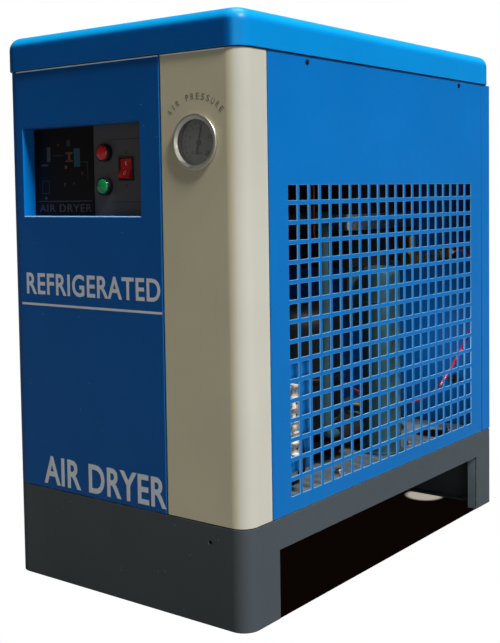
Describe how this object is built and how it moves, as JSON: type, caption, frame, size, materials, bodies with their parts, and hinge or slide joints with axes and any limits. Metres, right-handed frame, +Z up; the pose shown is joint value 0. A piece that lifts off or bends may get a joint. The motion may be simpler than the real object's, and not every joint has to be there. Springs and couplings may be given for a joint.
{
  "type": "refrigerated air dryer",
  "caption": "Upright refrigerated compressed-air dryer in a sheet-steel cabinet with a raised base, recessed controls, round gauge, side grille and rear air ports.",
  "frame": {"origin": "centre of the outline's footprint, on the floor plane", "axes": "+Z up, front panel and gauge face -Y, grille side faces +X"},
  "size_m": [0.405, 0.704, 0.729],
  "materials": {
    "blue_paint": "satin powder coat",
    "lid_paint": "satin powder coat",
    "beige_paint": "satin powder coat",
    "base_paint": "fine texture powder coat",
    "grey_paint": "satin",
    "black_paint": "semi-gloss",
    "tank_paint": "satin",
    "bright_ring": "polished",
    "steel": "zinc plated",
    "aluminium": "mill finish",
    "copper": "drawn tube, dulled",
    "brass": "cast, dulled",
    "black_plastic": "moulded",
    "grey_plate": "satin",
    "white_plastic": "moulded",
    "red_plastic": "moulded",
    "green_plastic": "moulded",
    "yellow_plastic": "dipped",
    "dial_face": "matt, printed",
    "rubber": "moulded",
    "foam": "closed-cell foam",
    "glass": "clear"
  },
  "bodies": {
    "root": {"front_panel": "blue_paint", "right_side_panel": "blue_paint", "left_side_panel": "blue_paint", "rear_panel": "blue_paint", "component_bracket": "blue_paint", "top_cover": "lid_paint", "corner_panel": "beige_paint", "base_frame": "base_paint", "floor_plate": "grey_paint", "control_box": "grey_paint", "compressor_shell": "black_paint", "compressor_base": "black_paint", "fan_shroud": "black_paint", "fan_motor": "black_paint", "water_separator": "tank_paint", "separator_pipe": "tank_paint", "suction_line": "tank_paint", "gauge_bezel": "bright_ring", "gauge_case": "steel", "fan_bracket": "steel", "air_inlet_port": "steel", "air_outlet_port": "steel", "drain_outlet": "steel", "condenser_coil": "aluminium", "run_capacitor": "aluminium", "discharge_line": "copper", "liquid_line": "copper", "filter_drier": "copper", "capillary_coil": "copper", "gauge_tube": "copper", "drain_strainer": "brass", "drain_valve_body": "brass", "hot_gas_valve": "brass", "bypass_line": "brass", "pressure_switch": "brass", "mimic_overlay": "black_plastic", "switch_housing": "black_plastic", "red_lamp_body": "black_plastic", "green_lamp_body": "black_plastic", "compressor_terminal_cover": "black_plastic", "auto_drain": "black_plastic", "cable_gland": "black_plastic", "control_plate": "grey_plate", "terminal_block": "white_plastic", "red_lamp_lens": "red_plastic", "red_wire": "red_plastic", "green_lamp_lens": "green_plastic", "gauge_dial": "dial_face", "compressor_mount_1": "rubber", "compressor_mount_2": "rubber", "compressor_mount_3": "rubber", "compressor_mount_4": "rubber", "heat_exchanger": "foam", "gauge_glass": "glass"},
    "rocker": {"switch_rocker": "red_plastic"},
    "pointer": {"gauge_pointer": "black_paint"},
    "fan": {"fan_blades": "aluminium"},
    "drain_lever": {"drain_valve_lever": "yellow_plastic"},
    "reset_key": {"reset_button": "red_plastic"}
  },
  "joints": [
    {"name": "rocker_tilt", "type": "hinge", "parent": "root", "child": "rocker", "pos_m": [0.0023, -0.326, 0.5491], "axis": [1, 0, 0], "range_deg": [0, 24]},
    {"name": "pointer_swing", "type": "hinge", "parent": "root", "child": "pointer", "pos_m": [0.1334, -0.3428, 0.5766], "axis": [0, -1, 0], "range_deg": [-122, 148]},
    {"name": "fan_spin", "type": "hinge", "parent": "root", "child": "fan", "pos_m": [-0.12, -0.018, 0.38], "axis": [1, 0, 0], "continuous": true},
    {"name": "drain_lever_turn", "type": "hinge", "parent": "root", "child": "drain_lever", "pos_m": [0.005, 0.144, 0.175], "axis": [0, 0, 1], "range_deg": [0, 90]},
    {"name": "reset_press", "type": "slide", "parent": "root", "child": "reset_key", "axis": [0, 0, -1], "range_m": [0, 0.003], "stiffness_N_per_m": 200, "springref_m": -0.002}
  ]
}
